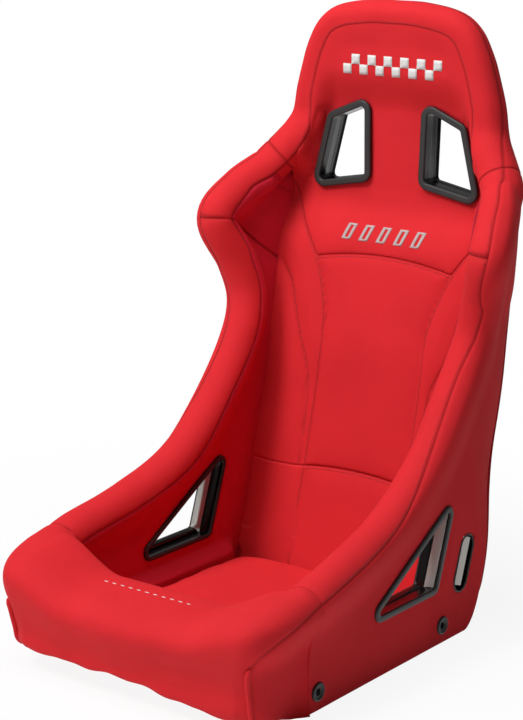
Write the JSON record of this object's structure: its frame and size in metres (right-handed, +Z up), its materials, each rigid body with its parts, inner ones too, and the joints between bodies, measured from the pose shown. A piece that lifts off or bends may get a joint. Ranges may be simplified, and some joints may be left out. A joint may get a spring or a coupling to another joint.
{
  "type": "racing seat",
  "caption": "Fixed-back bucket seat with padded edge rolls, shoulder wings, belt slots, side mounts and a lift-out seat cushion.",
  "frame": {"origin": "middle of the box, on the plane under the base rails", "axes": "+Z up, the sitter faces -Y, +X to the right of someone who looks at the seat from the front"},
  "size_m": [0.51, 0.651, 0.8411],
  "materials": {
    "cover": "fine red knit, matte",
    "side_cover": "fine red knit, matte",
    "trim": "satin black",
    "frame": "satin grey",
    "boss": "bright turned",
    "washer": "matt black",
    "webbing": "black webbing"
  },
  "bodies": {
    "shell": {"front_bolster": "cover", "thigh_roll_l": "cover", "thigh_roll_r": "cover", "shoulder_roll_l": "cover", "shoulder_roll_r": "cover", "head_roll": "cover", "side_pad_l": "side_cover", "side_pad_r": "side_cover", "wing_pad_l": "side_cover", "wing_pad_r": "side_cover", "lumbar_pad": "cover", "back_pad": "cover", "upper_pad": "cover", "side_panel_l": "cover", "side_panel_r": "cover", "rear_panel": "cover", "edge_tube": "frame", "base_rail_l": "frame", "base_rail_r": "frame", "brace_front_l": "frame", "brace_front_r": "frame", "brace_rear_l": "frame", "brace_rear_r": "frame", "brace_link_l": "frame", "brace_link_r": "frame", "front_stay_l": "frame", "front_stay_r": "frame", "front_bar": "frame", "rear_bar": "frame", "head_bar": "frame", "base_straps": "webbing", "mount_bosses_l": "boss", "mount_bosses_r": "boss", "mount_washers": "washer", "shoulder_bezel_front_l": "trim", "shoulder_bezel_front_r": "trim", "shoulder_bezel_rear_l": "trim", "shoulder_bezel_rear_r": "trim", "lap_bezel_inner_l": "trim", "lap_bezel_inner_r": "trim", "lap_bezel_outer_l": "trim", "lap_bezel_outer_r": "trim", "slit_trim_l": "trim", "slit_trim_r": "trim"},
    "cushion": {"seat_cushion": "cover"}
  },
  "joints": [
    {"name": "cushion_lift", "type": "slide", "parent": "shell", "child": "cushion", "axis": [0, 0, 1], "range_m": [0, 0.3]}
  ]
}
